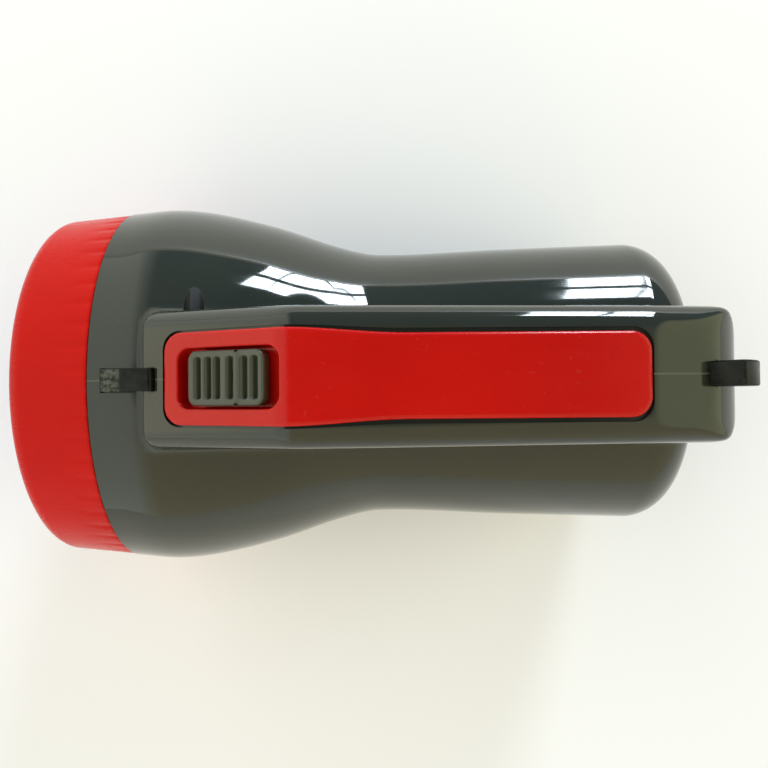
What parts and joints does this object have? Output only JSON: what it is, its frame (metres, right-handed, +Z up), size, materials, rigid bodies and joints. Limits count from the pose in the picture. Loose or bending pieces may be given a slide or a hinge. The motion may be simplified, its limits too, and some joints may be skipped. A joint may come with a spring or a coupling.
{
  "type": "rechargeable flashlight",
  "caption": "Hand-held rechargeable flashlight with a bell head, a screw-on bezel, a loop handle and a thumb slide switch.",
  "frame": {"origin": "on the floor, under the middle of the whole object", "axes": "+X along the beam, towards the lens; +Z up through the handle; +Y to the left of a person who holds it"},
  "size_m": [0.1952, 0.1158, 0.1481],
  "materials": {
    "shell_plastic": "high gloss dark olive-grey moulded plastic",
    "red_plastic": "satin-gloss red moulded plastic",
    "cap_plastic": "satin olive-grey moulded plastic",
    "black_plastic": "satin black moulded plastic",
    "lens_clear": "clear polished",
    "gasket_rubber": "black rubber",
    "reflector_chrome": "metallised mirror on plastic",
    "board_aluminium": "plain aluminium",
    "emitter_yellow": "yellow phosphor under clear resin",
    "battery_case": "dark grey plastic case",
    "plated_steel": "zinc-plated steel",
    "board_phenolic": "brown phenolic circuit board",
    "capacitor_brown": "glossy brown resin",
    "indicator_red": "clear red resin",
    "wire_red": "red wire insulation",
    "wire_black": "black wire insulation"
  },
  "bodies": {
    "torch": {"left_shell": "shell_plastic", "right_shell": "shell_plastic", "reflector": "reflector_chrome", "led_board": "board_aluminium", "led_emitter": "emitter_yellow", "heat_sink": "board_aluminium", "grip_insert": "red_plastic", "switch_body": "black_plastic", "front_strap_eye": "black_plastic", "rear_strap_eye": "black_plastic", "battery": "battery_case", "battery_terminal_positive": "plated_steel", "battery_terminal_negative": "plated_steel", "battery_clamp": "plated_steel", "clamp_screw_left": "plated_steel", "clamp_screw_right": "plated_steel", "charger_board": "board_phenolic", "charger_capacitor": "capacitor_brown", "charger_rectifier": "black_plastic", "charge_indicator": "indicator_red", "charge_inlet": "black_plastic", "inlet_pin_left": "plated_steel", "inlet_pin_right": "plated_steel", "shell_screw_1": "plated_steel", "shell_screw_2": "plated_steel", "shell_screw_3": "plated_steel", "shell_screw_4": "plated_steel", "shell_screw_5": "plated_steel", "battery_lead_positive": "wire_red", "battery_lead_negative": "wire_black", "switch_lead": "wire_red", "lamp_lead_negative": "wire_black", "lamp_lead_positive": "wire_red"},
    "lens_pack": {"front_lens": "lens_clear", "lens_gasket": "gasket_rubber"},
    "bezel": {"bezel_ring": "red_plastic"},
    "switch_slider": {"switch_cap": "cap_plastic", "switch_lever": "black_plastic"}
  },
  "joints": [
    {"name": "switch_slide", "type": "slide", "parent": "torch", "child": "switch_slider", "axis": [-0.8878, 0, 0.4601], "range_m": [0, 0.0038]},
    {"name": "bezel_advance", "type": "slide", "parent": "torch", "child": "lens_pack", "axis": [1, 0, 0], "range_m": [0, 0.00641]},
    {"name": "bezel_turn", "type": "hinge", "parent": "lens_pack", "child": "bezel", "pos_m": [0.08, 0, 0.0595], "axis": [1, 0, 0], "range_deg": [0, 720]}
  ],
  "couplings": [
    {"joint": "bezel_advance", "follows": "bezel_turn", "m_per_rad": 0.0005093}
  ]
}
